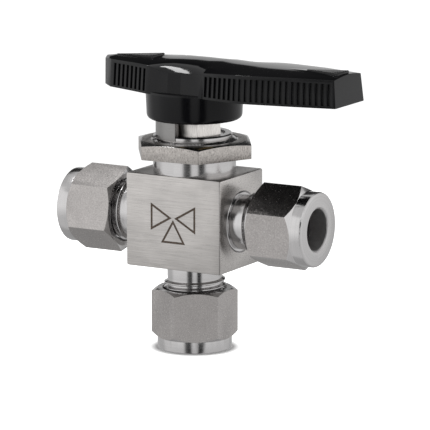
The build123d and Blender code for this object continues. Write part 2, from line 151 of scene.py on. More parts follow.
# %% [markdown]
# Steel shows what surrounds it, so the studio is drawn as the metal sees it: tall
# soft boxes to the left and right of the camera, a bright strip behind the camera
# between two dark gaps, light that fades towards the table, a grey wall behind
# and a dim ceiling. It is painted on the world, by direction, because a painted
# box costs nothing to render and can be made to fade softly.

# %% Studio surroundings
LOW_TONES = (  # below the horizon: degrees from the camera's side, and tone
    (-180, 0.6), (-120, 0.7), (-95, 1.05), (-36, 1.05), (-27, 0.12), (-12, 0.05), (-8, 0.95),
    (9, 0.95), (12, 0.05), (24, 0.05), (34, 1.0), (110, 0.9), (150, 0.6), (180, 0.6))
BOX_PLACES = (  # above the horizon: 1 where a soft box stands
    (-180, 0), (-125, 0), (-100, 1), (-40, 1), (-30, 0), (30, 0), (40, 1), (105, 1), (135, 0),
    (180, 0))
WALL_TONES = (  # from the horizon to straight up: sine of the height, and tone
    (0.0, 0.6), (0.195, 0.6), (0.235, 0.03), (0.6, 0.03), (0.68, 0.68), (1.0, 0.68))
BOX_TONES = ((0.0, 1.15), (0.6, 1.15), (0.7, 0.75))
FADE_FROM = -0.5  # height where the light near the table is weakest
FADE_TONES = (0.72, 1.12)  # there, and at the horizon
HORIZON = (-0.12, 0.03)  # the upper studio takes over between these heights
BACKDROP = (1.1, 1.1, 1.1, 1)  # what the lens sees behind the part


def round_stops(stops):
    """Stops in degrees from the camera's side, -180 to 180, as ramp places."""
    return [((angle + 180) / 360, tone) for angle, tone in stops]


world = bpy.data.worlds.new("studio")
bpy.context.scene.world = world
world.use_nodes = True
sky = world.node_tree
sky.nodes.clear()
direction = node(sky, "TexCoord")
ahead = (sin(AZIMUTH), -cos(AZIMUTH), 0)
along = node(sky, "VectorMath", {0: direction, 1: ahead}, out=1, operation="DOT_PRODUCT")
aside = node(sky, "VectorMath", {0: direction, 1: tuple(right)}, out=1, operation="DOT_PRODUCT")
turn = math(sky, "ARCTAN2", aside, along)
turn = math(sky, "ADD", math(sky, "DIVIDE", turn, 2 * pi), 0.5)
height = node(sky, "SeparateXYZ", {0: direction}, out=2)
low_band = ramp(sky, turn, round_stops(LOW_TONES))
fade = node(sky, "MapRange", {0: height, 1: FADE_FROM, 2: 0.0, 3: FADE_TONES[0], 4: FADE_TONES[1]})
low_band = node(sky, "MixRGB", {0: 1.0, 1: low_band, 2: fade}, blend_type="MULTIPLY")
boxes = ramp(sky, turn, round_stops(BOX_PLACES))
wall = ramp(sky, height, WALL_TONES)
box_glow = ramp(sky, height, BOX_TONES)
upper = node(sky, "MixRGB", {0: boxes, 1: wall, 2: box_glow})
lift = node(sky, "MapRange", {0: height, 1: HORIZON[0], 2: HORIZON[1]})
around = node(sky, "MixRGB", {0: lift, 1: low_band, 2: upper})
seen = node(sky, "LightPath")
tone = node(sky, "MixRGB", {0: seen, 1: around, 2: BACKDROP})
glow = node(sky, "Background", {0: tone})
ending = sky.nodes.new("ShaderNodeOutputWorld")
sky.links.new(glow, ending.inputs[0])
print("studio nodes", len(sky.nodes))

# %% [markdown]
# One real lamp is added to the painted studio: a long narrow soft box high up and
# to the left. It draws the bright streak on the lever's glossy shoulder, and its
# place follows from that: the streak lies where the surface faces half way
# between the lamp and the lens.

# %% Key light
KEY_FROM = Vector((-0.45, 0.12, 0.885))
KEY_REACH = 560
KEY_LONG = 230
KEY_WIDE = 50
KEY_WATTS = 0.5
spot = Vector((0, 0, axis_z)) + KEY_REACH * KEY_FROM
bpy.ops.object.light_add(type="AREA", location=spot * MM)
key = bpy.context.object
key.rotation_euler = KEY_FROM.to_track_quat("Z", "Y").to_euler()
key.data.shape = "RECTANGLE"
key.data.size = KEY_LONG * MM
key.data.size_y = KEY_WIDE * MM
key.data.energy = KEY_WATTS
print("key light", [round(x, 3) for x in key.location])

# %% [markdown]
# Selecting is what a hand does before every edit. These helpers put the mouse
# aside first: nothing stays selected by accident, and a face, edge or corner is
# picked by a test on its place.

# %% Selecting and editing
def alone(piece):
    """Selects one piece, in object mode."""
    if bpy.context.object and bpy.context.object.mode == "EDIT":
        bpy.ops.object.mode_set(mode="OBJECT")
    bpy.ops.object.select_all(action="DESELECT")
    piece.select_set(True)
    bpy.context.view_layer.objects.active = piece


def edit(piece, kind="VERT"):
    """Opens a piece in edit mode with nothing selected."""
    alone(piece)
    bpy.ops.object.mode_set(mode="EDIT")
    bpy.ops.mesh.select_mode(type=kind)
    bpy.ops.mesh.select_all(action="DESELECT")


def close():
    bpy.ops.object.mode_set(mode="OBJECT")


def middle(mesh, element):
    """Centre of a corner, edge or face, in millimetres."""
    if isinstance(element, bpy.types.MeshVertex):
        return element.co / MM
    if isinstance(element, bpy.types.MeshPolygon):
        return element.center / MM
    a, b = (mesh.vertices[i].co for i in element.vertices)
    return (a + b) / 2 / MM


def pick(piece, kind, test):
    """Leaves a piece in edit mode with the elements that pass a test selected."""
    edit(piece, kind)
    close()
    mesh = piece.data
    elements = {"VERT": mesh.vertices, "EDGE": mesh.edges, "FACE": mesh.polygons}[kind]
    count = 0
    for element in elements:
        element.select = bool(test(middle(mesh, element)))
        count += element.select
    bpy.ops.object.mode_set(mode="EDIT")
    return count


def fixed(piece):
    """Applies the object's own place, so that it lies in the mesh."""
    alone(piece)
    bpy.ops.object.transform_apply(location=True, rotation=True, scale=True)
    return piece


def named(piece, name):
    piece.name = name
    piece.data.name = name
    return piece


def tidy(piece, gap=0.002):
    """Merges doubled corners and turns every face outwards."""
    edit(piece)
    bpy.ops.mesh.select_all(action="SELECT")
    bpy.ops.mesh.remove_doubles(threshold=gap * MM)
    bpy.ops.mesh.normals_make_consistent(inside=False)
    close()
    return piece


# %% [markdown]
# Round parts are turned on a lathe. Here the half section is drawn as a chain
# of extruded corners and spun once round the Z axis. Hex bar starts as a six
# sided cylinder. Cutting and joining use the Boolean modifier, which is applied
# at once.

# %% Lathe, hex bar and Boolean tools
SEGMENTS = 128


def lathe(name, profile, segments=SEGMENTS):
    """Spins a closed chain of (radius, height) points about Z."""
    bpy.ops.object.select_all(action="DESELECT")
    bpy.ops.mesh.primitive_plane_add(size=MM, location=(0, 0, 0))
    piece = named(bpy.context.object, name)
    edit(piece)
    bpy.ops.mesh.select_all(action="SELECT")
    bpy.ops.mesh.merge(type="CENTER")
    spots = [Vector((r, 0, z)) for r, z in profile]
    bpy.ops.transform.translate(value=spots[0] * MM)
    for start, end in zip(spots, spots[1:] + spots[:1]):
        step = {"value": (end - start) * MM}
        bpy.ops.mesh.extrude_vertices_move(TRANSFORM_OT_translate=step)
    bpy.ops.mesh.select_all(action="SELECT")
    bpy.ops.mesh.remove_doubles(threshold=0.0001 * MM)
    bpy.ops.mesh.select_all(action="SELECT")
    bpy.ops.mesh.spin(steps=segments, angle=2 * pi, center=(0, 0, 0), axis=(0, 0, 1))
    close()
    return tidy(piece)


def hex_bar(name, flats, low, high, corner=0.0):
    """Hex bar along Z, one corner at an angle from +X."""
    bpy.ops.object.select_all(action="DESELECT")
    bpy.ops.mesh.primitive_cylinder_add(
        vertices=6, radius=flats / 2 / cos(pi / 6) * MM, depth=(high - low) * MM,
        location=(0, 0, (low + high) / 2 * MM), rotation=(0, 0, radians(corner + 30)))
    return fixed(named(bpy.context.object, name))


def box(name, low, high):
    """Block between two corners."""
    low, high = Vector(low), Vector(high)
    bpy.ops.object.select_all(action="DESELECT")
    bpy.ops.mesh.primitive_cube_add(size=1, location=(low + high) / 2 * MM, scale=(high - low) * MM)
    return fixed(named(bpy.context.object, name))


def combine(piece, tool, how):
    """Boolean of a piece with a tool, which is then thrown away."""
    alone(piece)
    cut = piece.modifiers.new("combine", "BOOLEAN")
    cut.operation = how
    cut.solver = "EXACT"
    cut.material_mode = "TRANSFER"
    cut.object = tool
    bpy.ops.object.modifier_apply(modifier=cut.name)
    bpy.data.objects.remove(tool)
    return piece


def joined(pieces):
    """Several tools as one mesh."""
    alone(pieces[0])
    for piece in pieces:
        piece.select_set(True)
    bpy.ops.object.join()
    return bpy.context.object


def copied(piece, name, matrix=None):
    """A copy with its own mesh, put in place."""
    twin = piece.copy()
    twin.data = piece.data.copy()
    bpy.context.scene.collection.objects.link(twin)
    if matrix is not None:
        twin.matrix_world = matrix
    return fixed(named(twin, name))


def soften(piece, width, segments=2, angle=30, smooth=30):
    """Small bevel on the sharp edges, then smooth shading between them."""
    alone(piece)
    if width:
        edge = piece.modifiers.new("edge", "BEVEL")
        edge.width = width * MM
        edge.segments = segments
        edge.limit_method = "ANGLE"
        edge.angle_limit = radians(angle)
        edge.use_clamp_overlap = True
        bpy.ops.object.modifier_apply(modifier=edge.name)
    bpy.ops.object.shade_smooth_by_angle(angle=radians(smooth))
    print(piece.name, len(piece.data.polygons), "faces")
    return piece


print("steps in a turned piece", SEGMENTS)

# %% [markdown]
# A screw thread is a ridge that winds round a core. The Screw modifier makes it
# from one small section, and the ridge's foot is buried in the core so that the
# two join cleanly.

# %% Thread tool
THREAD_FOOT = 0.36  # half the ridge's width at its foot, in pitches
THREAD_TIP = 0.07  # and at its crest
THREAD_BURY = 0.25  # how deep it stands in its core
THREAD_STEPS = 72  # a turn


def thread(name, root, crest, pitch, low, high):
    """Helical ridge from low to high, to be joined to a core."""
    half_root = THREAD_FOOT * pitch
    half_crest = THREAD_TIP * pitch
    bpy.ops.object.select_all(action="DESELECT")
    bpy.ops.mesh.primitive_plane_add(size=MM, location=(0, 0, 0))
    piece = named(bpy.context.object, name)
    edit(piece)
    bpy.ops.mesh.select_all(action="SELECT")
    bpy.ops.mesh.merge(type="CENTER")
    loop = [(root - THREAD_BURY, -half_root), (root, -half_root), (crest, -half_crest),
            (crest, half_crest), (root, half_root), (root - THREAD_BURY, half_root)]
    spots = [Vector((r, 0, z + low)) for r, z in loop]
    bpy.ops.transform.translate(value=spots[0] * MM)
    for start, end in zip(spots, spots[1:]):
        bpy.ops.mesh.extrude_vertices_move(TRANSFORM_OT_translate={"value": (end - start) * MM})
    bpy.ops.mesh.select_all(action="SELECT")
    bpy.ops.mesh.edge_face_add()
    bpy.ops.mesh.delete(type="ONLY_FACE")
    close()
    turns = (high - low) / pitch
    alone(piece)
    coil = piece.modifiers.new("coil", "SCREW")
    coil.angle = 2 * pi * turns
    coil.screw_offset = pitch * turns * MM
    coil.steps = int(THREAD_STEPS * turns)
    coil.render_steps = coil.steps
    bpy.ops.object.modifier_apply(modifier=coil.name)
    edit(piece)
    bpy.ops.mesh.select_all(action="SELECT")
    bpy.ops.mesh.fill_holes(sides=0)
    close()
    return tidy(piece, 0.0005)


print("steps in a turn of thread", THREAD_STEPS)

# %% [markdown]
# Bare steel is one colour, and it is the tool marks that tell the faces apart: a
# belt leaves long straight scratches, a lathe leaves rings, a milling cutter
# leaves a fine mottle. Each finish is noise read in object coordinates, stretched
# along the marks, and it drives the tone, the roughness and a shallow bump.

# %% Steel finishes
def fresh(name):
    """New material: its node tree, its shader and the object coordinates in mm."""
    made = bpy.data.materials.new(name)
    made.use_nodes = True
    tree = made.node_tree
    tree.nodes.clear()
    shader = tree.nodes.new("ShaderNodeBsdfPrincipled")
    ending = tree.nodes.new("ShaderNodeOutputMaterial")
    tree.links.new(shader.outputs[0], ending.inputs[0])
    place = node(tree, "TexCoord", out=3)
    place = node(tree, "VectorMath", {0: place, 1: (1 / MM, 1 / MM, 1 / MM)}, operation="MULTIPLY")
    return made, tree, shader, place


def round_axis(tree, place, axis):
    """Coordinates of a turned part: radius, height and a little of the angle."""
    place = node(tree, "VectorMath", {0: place, 1: (0, 0, axis_z)}, operation="SUBTRACT")
    x, y, z = (node(tree, "SeparateXYZ", {0: place}, out=i) for i in range(3))
    length, a, b = {"X": (x, y, z), "Z": (z, x, y)}[axis]
    squares = math(tree, "ADD", math(tree, "MULTIPLY", a, a), math(tree, "MULTIPLY", b, b))
    radius = math(tree, "SQRT", squares)
    angle = math(tree, "ARCTAN2", a, b)
    return node(tree, "CombineXYZ", {0: radius, 1: length, 2: math(tree, "MULTIPLY", angle, 0.5)})


def metal(name, colour, roughness, stretch, marks, axis=None, contrast=0.1, bump=0.12, cloud=0.06):
    """Steel with tool marks: noise stretched per axis, finer as marks rises."""
    made, tree, shader, place = fresh(name)
    if axis:
        place = round_axis(tree, place, axis)
    lines = node(tree, "VectorMath", {0: place, 1: stretch}, operation="MULTIPLY")
    fine = node(tree, "TexNoise", {"Vector": lines, "Scale": marks, "Detail": 4.0, "Roughness": 0.6})
    broad = node(tree, "TexNoise", {"Vector": place, "Scale": 0.22, "Detail": 2.0})
    light = tuple(c * (1 + contrast) for c in colour)
    dark = tuple(c * (1 - contrast) for c in colour)
    grain = ramp(tree, fine, [(0.3, dark), (0.7, light)], smooth=False)
    patch = ramp(tree, broad, [(0.3, 1 - cloud), (0.7, 1.0)])
    tint = node(tree, "MixRGB", {0: 1.0, 1: grain, 2: patch}, blend_type="MULTIPLY")
    tree.links.new(tint, shader.inputs["Base Color"])
    rough = node(tree, "MapRange", {
        0: fine, 1: 0.25, 2: 0.75, 3: roughness * 0.8, 4: roughness * 1.2})
    tree.links.new(rough, shader.inputs["Roughness"])
    relief = node(tree, "Bump", {"Strength": bump, "Distance": 0.05 * MM, "Height": fine})
    tree.links.new(relief, shader.inputs["Normal"])
    shader.inputs["Metallic"].default_value = 1.0
    return made


NEUTRAL = (0.56, 0.55, 0.55)
brushed_steel = metal("brushed_steel", (0.51, 0.49, 0.475), 0.3, (0.035, 0.5, 1.0), 5.5,
                      contrast=0.16, bump=0.25, cloud=0.08)
milled_steel = metal("milled_steel", (0.42, 0.40, 0.39), 0.24, (1.0, 1.0, 1.0), 2.8,
                     contrast=0.17, bump=0.24)
turned_along = metal("turned_steel_run", NEUTRAL, 0.16, (6.0, 6.0, 0.4), 1.2, axis="X",
                     contrast=0.06)
bored_steel = metal("bored_steel", NEUTRAL, 0.5, (1.0, 1.0, 1.0), 2.0, contrast=0.08)
turned_up = metal("turned_steel_upright", NEUTRAL, 0.16, (6.0, 6.0, 0.4), 1.2, axis="Z",
                  contrast=0.06)
pitted_steel = metal("pitted_steel", (0.42, 0.395, 0.375), 0.3, (1.0, 1.0, 0.8), 2.6,
                     contrast=0.34, bump=0.6)
rough_milled = metal("rough_milled_steel", (0.78, 0.75, 0.72), 0.32, (1.0, 1.0, 0.18), 4.5,
                     contrast=0.2, bump=0.7)
lug_steel = metal("lug_steel", (0.29, 0.285, 0.28), 0.36, (0.3, 0.3, 1.0), 4.0, contrast=0.08)
dark_steel = metal("spring_steel", (0.36, 0.35, 0.34), 0.35, (1.0, 1.0, 1.0), 3.0, contrast=0.12)
ball_steel = metal("polished_steel", (0.72, 0.71, 0.70), 0.08, (4.0, 4.0, 0.3), 1.5, axis="Z",
                   contrast=0.03, bump=0.03)
brass = metal("turned_brass", (0.66, 0.46, 0.18), 0.25, (5.0, 5.0, 0.4), 1.2, axis="Z",
              contrast=0.08)
print("metal finishes", [made.name for made in bpy.data.materials])

# %% [markdown]
# The laser mark is a brown oxide burnt into the steel: duller and much darker
# than the metal, and a little uneven. The packing is waxy white plastic.

# %% Laser mark and packing
def laser_brown(name):
    made, tree, shader, place = fresh(name)
    speck = node(tree, "TexNoise", {"Vector": place, "Scale": 4.0, "Detail": 3.0})
    tint = ramp(tree, speck, [(0.3, (0.05, 0.035, 0.025)), (0.7, (0.13, 0.095, 0.07))])
    tree.links.new(tint, shader.inputs["Base Color"])
    rough = node(tree, "MapRange", {0: speck, 1: 0.3, 2: 0.7, 3: 0.45, 4: 0.65})
    tree.links.new(rough, shader.inputs["Roughness"])
    shader.inputs["Metallic"].default_value = 0.3
    return made


def waxy_white(name):
    made, tree, shader, place = fresh(name)
    cloud = node(tree, "TexNoise", {"Vector": place, "Scale": 0.8, "Detail": 3.0})
    tint = ramp(tree, cloud, [(0.3, (0.74, 0.72, 0.67)), (0.7, (0.84, 0.83, 0.79))])
    tree.links.new(tint, shader.inputs["Base Color"])
    rough = node(tree, "MapRange", {0: cloud, 1: 0.3, 2: 0.7, 3: 0.35, 4: 0.5})
    tree.links.new(rough, shader.inputs["Roughness"])
    return made


laser_mark = laser_brown("laser_mark")
packing_white = waxy_white("packing_white")
print("made", laser_mark.name, "and", packing_white.name)

# %% [markdown]
# The lever is moulded in black plastic. The mould was polished for its top and
# left matt for its grips, so the same black has three finishes: a near mirror, a
# satin with a fine grain, and one between them for the hub underneath.

# %% Black plastic
def black_plastic(name, tone, low_rough, high_rough, grain, bump, shine=0.5):
    made, tree, shader, place = fresh(name)
    fine = node(tree, "TexNoise", {"Vector": place, "Scale": grain, "Detail": 3.0})
    broad = node(tree, "TexNoise", {"Vector": place, "Scale": 0.12, "Detail": 2.0})
    tint = ramp(tree, broad, [(0.3, tuple(c * 0.8 for c in tone)), (0.7, tone)])
    tree.links.new(tint, shader.inputs["Base Color"])
    rough = node(tree, "MapRange", {0: fine, 1: 0.3, 2: 0.7, 3: low_rough, 4: high_rough})
    tree.links.new(rough, shader.inputs["Roughness"])
    relief = node(tree, "Bump", {"Strength": bump, "Distance": 0.05 * MM, "Height": fine})
    tree.links.new(relief, shader.inputs["Normal"])
    shader.inputs["Specular IOR Level"].default_value = shine
    return made


BLACK = (0.003, 0.003, 0.004)
glossy_black = black_plastic("glossy_black", BLACK, 0.03, 0.07, 0.6, 0.01, 0.3)
satin_black = black_plastic("satin_black", BLACK, 0.26, 0.36, 6.0, 0.1, 0.27)
hub_black = black_plastic("hub_black", BLACK, 0.12, 0.2, 2.0, 0.03, 0.2)
print("made", glossy_black.name, satin_black.name, hub_black.name)

# %% [markdown]
# The block is a length of square bar. It starts as a cube with bevelled edges.
# The threaded neck is turned and joined on, the stop lug is a quarter of a ring,
# and then the holes are bored: the cavity from above and the three ports.

# %% Block and neck
def dressed(piece, *finishes):
    """Gives a piece its materials, all faces on the first."""
    piece.data.materials.clear()
    for finish in finishes:
        piece.data.materials.append(finish)
    return piece


def port_matrix(side, corner=90.0):
    """Place of a port: Z outwards from the block face, X towards a corner angle."""
    c, s = cos(radians(corner)), sin(radians(corner))
    if side == "bottom":
        across, out = Vector((c, s, 0)), Vector((0, 0, -1))
        origin = Vector((0, 0, block_base))
    else:
        sign = 1 if side == "right" else -1
        across, out = Vector((0, c, s)), Vector((sign, 0, 0))
        origin = Vector((sign * face_x, 0, axis_z))
    turn = Matrix((across, out.cross(across), out)).transposed().to_4x4()
    return Matrix.Translation(origin * MM) @ turn


BLOCK_EDGE = 0.45
NECK_R = 9.65
NECK_ROOT = 8.8
NECK_CORE = 6  # inner radius before boring, less than the cavity's
NECK_PITCH = 1.5875
NECK_BAND = 3.4  # plain band under the thread
NECK_SLOPE = 0.5  # from the band down to the thread's root
NECK_EDGE = 0.3
THREAD_CLEAR = 0.7  # from the neck's plain ends to the thread's
LUG_R = 9.05
LUG_WALL = 1.6

block = dressed(box("valve_block", (-face_x, -face_y, block_base), (face_x, face_y, block_top)),
                brushed_steel)
edit(block, "EDGE")
bpy.ops.mesh.select_all(action="SELECT")
bpy.ops.mesh.bevel(offset=BLOCK_EDGE * MM, segments=2, affect="EDGES")
close()
band_top = block_top + NECK_BAND
neck = lathe("neck", [(NECK_CORE, block_top - 1), (NECK_R, block_top - 1), (NECK_R, band_top),
                      (NECK_ROOT, band_top + NECK_SLOPE), (NECK_ROOT, rim_z - NECK_EDGE),
                      (NECK_ROOT - NECK_EDGE, rim_z), (NECK_CORE, rim_z)])
ridge = thread("neck_thread", NECK_ROOT, NECK_R, NECK_PITCH, band_top + THREAD_CLEAR,
               rim_z - THREAD_CLEAR)
neck = dressed(combine(neck, ridge, "UNION"), turned_up)
block = combine(block, neck, "UNION")
lug = lathe("lug", [(LUG_R - LUG_WALL, rim_z - 1), (LUG_R, rim_z - 1), (LUG_R, rim_z + LUG_HEIGHT),
                    (LUG_R - LUG_WALL, rim_z + LUG_HEIGHT)])
quarter = box("quarter", (-LUG_R - 1, -LUG_R - 1, rim_z - 2), (0, 0, rim_z + LUG_HEIGHT + 1))
lug = dressed(combine(lug, quarter, "INTERSECT"), lug_steel)
block = combine(block, lug, "UNION")
print("block with its neck and lug", len(block.data.polygons), "faces")

# %% [markdown]
# The cavity is bored from above for the ball and its packing, and a socket is
# bored in each port's face for its connector. Each cutter wears the turned
# finish, and the Boolean hands it on to the wall that the cutter leaves.

# %% Bored holes
CAVITY_R = 7.15
CAVITY_FLOOR = 6.4
SHANK_R = 7.0
SHANK_RIM = 0.28
DISC_OUT = 8.4
cavity = lathe("cavity", [(0, axis_z - CAVITY_FLOOR), (CAVITY_R, axis_z - CAVITY_FLOOR),
                          (CAVITY_R, rim_z + 1), (0, rim_z + 1)])
block = combine(block, dressed(cavity, turned_up), "DIFFERENCE")
shanks = {"left": face_x - DISC_OUT, "right": face_x - DISC_OUT,
          "bottom": axis_z - block_base - CAVITY_FLOOR - 1}
for side, depth in shanks.items():
    hole = lathe("hole", [(0, -depth), (SHANK_R, -depth), (SHANK_R, -SHANK_RIM),
                          (SHANK_R + SHANK_RIM, 0), (SHANK_R + SHANK_RIM, 1), (0, 1)])
    hole = copied(hole, "hole_" + side, port_matrix(side))
    dressed(hole, turned_up if side == "bottom" else turned_along)
    block = combine(block, hole, "DIFFERENCE")
    bpy.data.objects.remove(bpy.data.objects["hole"])
print("sockets bored", {side: round(depth, 2) for side, depth in shanks.items()})

# %% [markdown]
# The front face carries the maker's laser marking on a real valve. Here it is a
# plain diagram instead: the sign for a three way valve, three triangles that
# meet at a point. Each outline is a three sided prism with a smaller one taken
# out of it, and it is cut a few hundredths of a millimetre into the steel.

# %% Flow diagram
SIGN_SIZE = 5.6  # height of a triangle, which is 1.5 times its prism's radius
SIGN_LINE = 0.5
SIGN_DEPTH = 0.06
SIGN_GAP = 0.35  # from a triangle's tip to the diagram's centre
SIGN_Z = axis_z + 1.2


def triangle(size):
    """Prism across the front face, its tip on the diagram's centre, pointing up."""
    bpy.ops.object.select_all(action="DESELECT")
    bpy.ops.mesh.primitive_cylinder_add(vertices=3, radius=size / 1.5 * MM, depth=1 * MM,
                                        rotation=(pi / 2, 0, 0))
    return fixed(bpy.context.object)


outline = triangle(SIGN_SIZE)
inner = triangle(SIGN_SIZE - 3 * SIGN_LINE)
edit(inner)
bpy.ops.mesh.select_all(action="SELECT")
bpy.ops.transform.resize(value=(1, 3, 1))
close()
outline = combine(outline, inner, "DIFFERENCE")
sign_parts = []
for turn_by in (0, pi / 2, -pi / 2):
    tip = Vector((0, 0, -SIGN_SIZE / 1.5 - SIGN_GAP)) * MM
    where = Matrix.Translation(Vector((0, -face_y - 0.5 + SIGN_DEPTH, SIGN_Z)) * MM)
    where = where @ Matrix.Rotation(turn_by, 4, "Y") @ Matrix.Translation(tip)
    sign_parts.append(copied(outline, "sign_part", where))
bpy.data.objects.remove(outline)
sign = dressed(joined(sign_parts), laser_mark)
block = combine(block, sign, "DIFFERENCE")
block = soften(block, 0)
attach(block, "valve")
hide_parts("body")

# %% [markdown]
# Each end connector is turned from bar: a shank in the block, a relief neck, and
# a male thread whose turns show between the block and the nut. One function
# makes all three, because they differ only in the depth of the shank.

# %% End connectors
FLOW_R = 2.38
SHANK_FIT = 0.05
SHANK_EDGE = 0.12
STUB_NECK_R = 6.4
STUB_NECK = 3.1
STUB_ROOT = 6.36
STUB_CREST = 7.14
STUB_PITCH = 1.27
STUB_END = 11.8
TUBE_R = 4.85
TUBE_STOP = 3.2
SEAT_MOUTH_R = 6.0
SEAT_DEPTH = 2.2


def connector(side, depth):
    finish = turned_up if side == "bottom" else turned_along
    shank = SHANK_R - SHANK_FIT
    core = lathe("core", [(FLOW_R, -depth), (shank, -depth), (shank, -SHANK_EDGE),
                          (shank - SHANK_EDGE, 0), (STUB_NECK_R, 0), (STUB_NECK_R, STUB_NECK - 0.2),
                          (STUB_ROOT, STUB_NECK), (STUB_ROOT, STUB_END - 0.3),
                          (SEAT_MOUTH_R, STUB_END), (TUBE_R, STUB_END - SEAT_DEPTH),
                          (TUBE_R, TUBE_STOP), (FLOW_R, TUBE_STOP)])
    turns = thread("turns", STUB_ROOT, STUB_CREST, STUB_PITCH, STUB_NECK + 0.35, STUB_END - 0.9)
    core = dressed(combine(core, turns, "UNION"), finish)
    piece = copied(core, side + "_stub", port_matrix(side))
    bpy.data.objects.remove(core)
    soften(piece, 0)
    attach(piece, "valve")
    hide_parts(side + "_end_connector")


for side, depth in shanks.items():
    connector(side, depth)

# %% [markdown]
# A tube nut is one hex bar turned down to a round collar at its outer end. The
# hex and a turned envelope are crossed with an Intersect, so the cone leaves the
# curved scallops of a real nut on the flats. The hex faces are milled and the
# collar is turned, and each keeps its own finish through the Boolean.

# %% Tube nuts
NUT_FLATS = 17.46
NUT_START = 5.7
NUT_HEX_END = 16.2
NUT_CONE = 1.0
PORT_REACH = 20.0
COLLAR_R = NUT_FLATS / 2 - 0.01
NUT_CORNER_R = NUT_FLATS / 2 / cos(pi / 6)
NUT_SLOPE = radians(30)  # of the chamfer on the hex's inner end
NUT_EDGE = 0.45
THREAD_FIT = 0.05
THREAD_LEAD = 0.4
NUT_BORE_R = TUBE_R + 0.02
NUT_CHAMBER_R = 6.35
NUT_CHAMBER_END = 13.92
NUT_THREAD_END = 13.4
MOUTH_FLARE = 0.42
NUT_CORNERS = {"right": 95.9, "left": 81.4, "bottom": 212.1}


def tube_nut(side, corner):
    turned = turned_up if side == "bottom" else turned_along
    bar = dressed(hex_bar("bar", NUT_FLATS, NUT_START, PORT_REACH + 1), milled_steel)
    drop = (NUT_CORNER_R - COLLAR_R) * tan(NUT_SLOPE)
    curve = [(COLLAR_R - NUT_EDGE + NUT_EDGE * sin(t), PORT_REACH - NUT_EDGE + NUT_EDGE * cos(t))
             for t in (pi / 2, pi / 3, pi / 6, 0)]
    envelope = dressed(lathe("envelope", [
        (3, NUT_START), (COLLAR_R, NUT_START), (NUT_CORNER_R + 0.02, NUT_START + drop),
        (NUT_CORNER_R + 0.02, NUT_HEX_END - 0.02), (COLLAR_R, NUT_HEX_END + NUT_CONE),
        *curve, (3, PORT_REACH)]), turned)
    nut = combine(bar, envelope, "INTERSECT")
    cone = NUT_CHAMBER_R - NUT_BORE_R
    thread_r = STUB_CREST + THREAD_FIT
    mouth_r = thread_r + THREAD_LEAD
    bore = dressed(lathe("bore", [
        (0, NUT_START - 1), (mouth_r, NUT_START - 1), (mouth_r, NUT_START),
        (thread_r, NUT_START + THREAD_LEAD), (thread_r, NUT_THREAD_END),
        (NUT_CHAMBER_R, NUT_THREAD_END),
        (NUT_CHAMBER_R, NUT_CHAMBER_END), (NUT_BORE_R, NUT_CHAMBER_END + cone),
        (NUT_BORE_R, PORT_REACH - MOUTH_FLARE), (NUT_BORE_R + 0.3 * MOUTH_FLARE, PORT_REACH - 0.2),
        (NUT_BORE_R + MOUTH_FLARE, PORT_REACH), (NUT_BORE_R + MOUTH_FLARE, PORT_REACH + 1),
        (0, PORT_REACH + 1)]), bored_steel)
    nut = combine(nut, bore, "DIFFERENCE")
    soften(nut, 0.09, angle=25)
    piece = copied(nut, side + "_nut", port_matrix(side, corner))
    bpy.data.objects.remove(nut)
    alone(piece)
    bpy.ops.object.shade_smooth_by_angle(angle=radians(20))
    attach(piece, side + "_nut")
    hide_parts(side + "_tube_nut")


for side, corner in NUT_CORNERS.items():
    tube_nut(side, corner)

# %% [markdown]
# The panel nut is thin and chamfered on its upper side only. It is made like a
# tube nut: the hex bar is crossed with a turned envelope, then bored.

# %% Panel nut
PANEL_FLATS = 25.4
PANEL_CORNER = 3.5
PANEL_SLOPE = radians(15)
PANEL_INSET = 0.45  # how far inside the flats the chamfer ends
panel_low, panel_high = (c.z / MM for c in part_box("panel_nut"))
flat_r = PANEL_FLATS / 2
drop = (flat_r + PANEL_INSET) * tan(PANEL_SLOPE)
bar = dressed(hex_bar("bar", PANEL_FLATS, panel_low, panel_high, PANEL_CORNER), pitted_steel)
envelope = dressed(lathe("envelope", [(5, panel_low), (2 * flat_r, panel_low),
                                      (2 * flat_r, panel_high - drop),
                                      (flat_r - PANEL_INSET, panel_high), (5, panel_high)]), turned_up)
panel = combine(bar, envelope, "INTERSECT")
hole_r = NECK_R + THREAD_FIT
mouth_r = hole_r + THREAD_LEAD
thread_hole = dressed(lathe("thread_hole", [
    (0, panel_low - 1), (mouth_r, panel_low - 1), (mouth_r, panel_low),
    (hole_r, panel_low + THREAD_LEAD), (hole_r, panel_high - THREAD_LEAD),
    (mouth_r, panel_high), (mouth_r, panel_high + 1), (0, panel_high + 1)]), turned_up)
panel = named(combine(panel, thread_hole, "DIFFERENCE"), "panel_nut_finished")
soften(panel, 0.12)
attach(panel, "panel_nut")
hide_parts("panel_nut")

# %% [markdown]
# The packing bolt shows a small, coarsely milled hex over the neck's rim. Its
# threaded plug is turned below it, and one bore runs through both for the stem.

